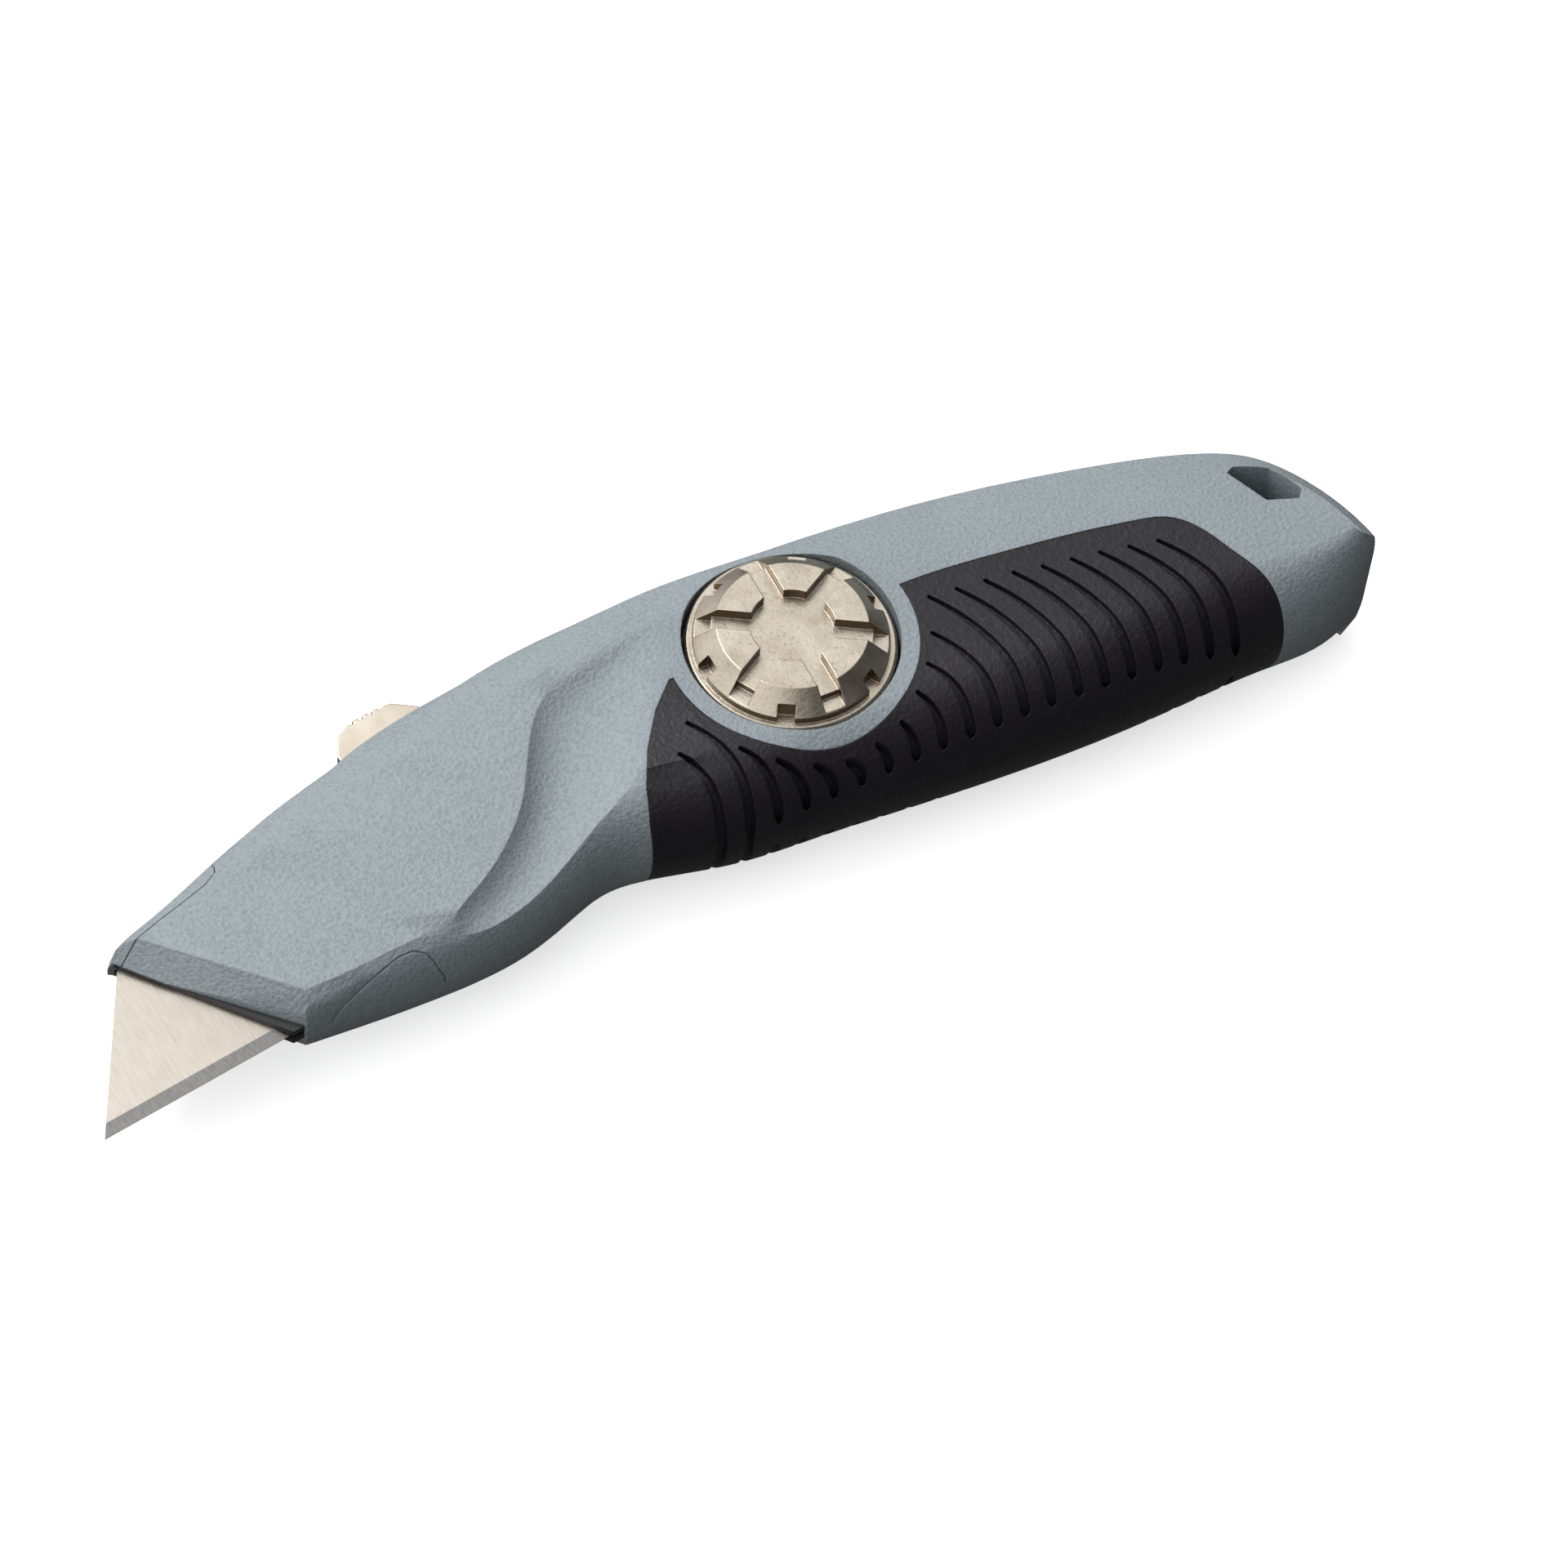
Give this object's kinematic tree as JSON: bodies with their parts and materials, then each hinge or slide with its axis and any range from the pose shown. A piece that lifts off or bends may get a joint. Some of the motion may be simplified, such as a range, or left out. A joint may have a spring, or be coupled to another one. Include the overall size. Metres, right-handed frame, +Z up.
{
  "type": "utility knife",
  "caption": "Retractable utility knife with a trapezoid blade, a thumb slide, a round closing knob and rubber grips.",
  "frame": {"origin": "middle of the footprint, on the surface that the knife's left side lies on", "axes": "+X from the blade to the tail along the cutting edge, +Y towards the spine, +Z up through the knob"},
  "size_m": [0.1766, 0.0535, 0.0246],
  "materials": {
    "casing": "fine-textured blue-grey powder coat",
    "rubber": "soft black rubber with a fine grain",
    "nickel": "warm satin nickel plating",
    "steel": "ground tool steel",
    "brass": "turned brass",
    "nylon": "black moulded nylon"
  },
  "bodies": {
    "left_half": {"left_casing": "casing", "left_grip": "rubber", "locating_pins": "steel", "left_nose_guide": "nylon", "thread_insert": "brass", "detent_rail": "steel", "blade_magazine": "nylon", "magazine_spring": "steel", "spare_blade_1": "steel", "spare_blade_2": "steel", "spare_blade_3": "steel", "spare_blade_4": "steel", "spare_blade_5": "steel"},
    "right_half": {"right_casing": "casing", "right_grip": "rubber", "right_nose_guide": "nylon", "knob_washer": "steel"},
    "knob_screw": {"knob": "nickel", "knob_stud": "steel", "retaining_clip": "steel"},
    "carriage": {"blade_carrier": "nylon", "blade": "steel", "blade_clip": "steel", "clip_rivets": "steel", "latch_spring": "steel"},
    "button": {"thumb_button": "nickel"}
  },
  "joints": [
    {"name": "right_half_lift", "type": "slide", "parent": "left_half", "child": "right_half", "axis": [0, 0, 1], "range_m": [0, 0.04]},
    {"name": "knob_turn", "type": "hinge", "parent": "right_half", "child": "knob_screw", "pos_m": [0.01635, 0.0027, 0.022], "axis": [0, 0, 1], "range_deg": [0, 1080]},
    {"name": "blade_slide", "type": "slide", "parent": "left_half", "child": "carriage", "axis": [1, 0, 0], "range_m": [0, 0.0275], "deforming": ["latch_spring"]},
    {"name": "button_press", "type": "slide", "parent": "carriage", "child": "button", "axis": [0, -1, 0], "range_m": [0, 0.0012], "stiffness_N_per_m": 900, "springref_m": -0.0005}
  ]
}
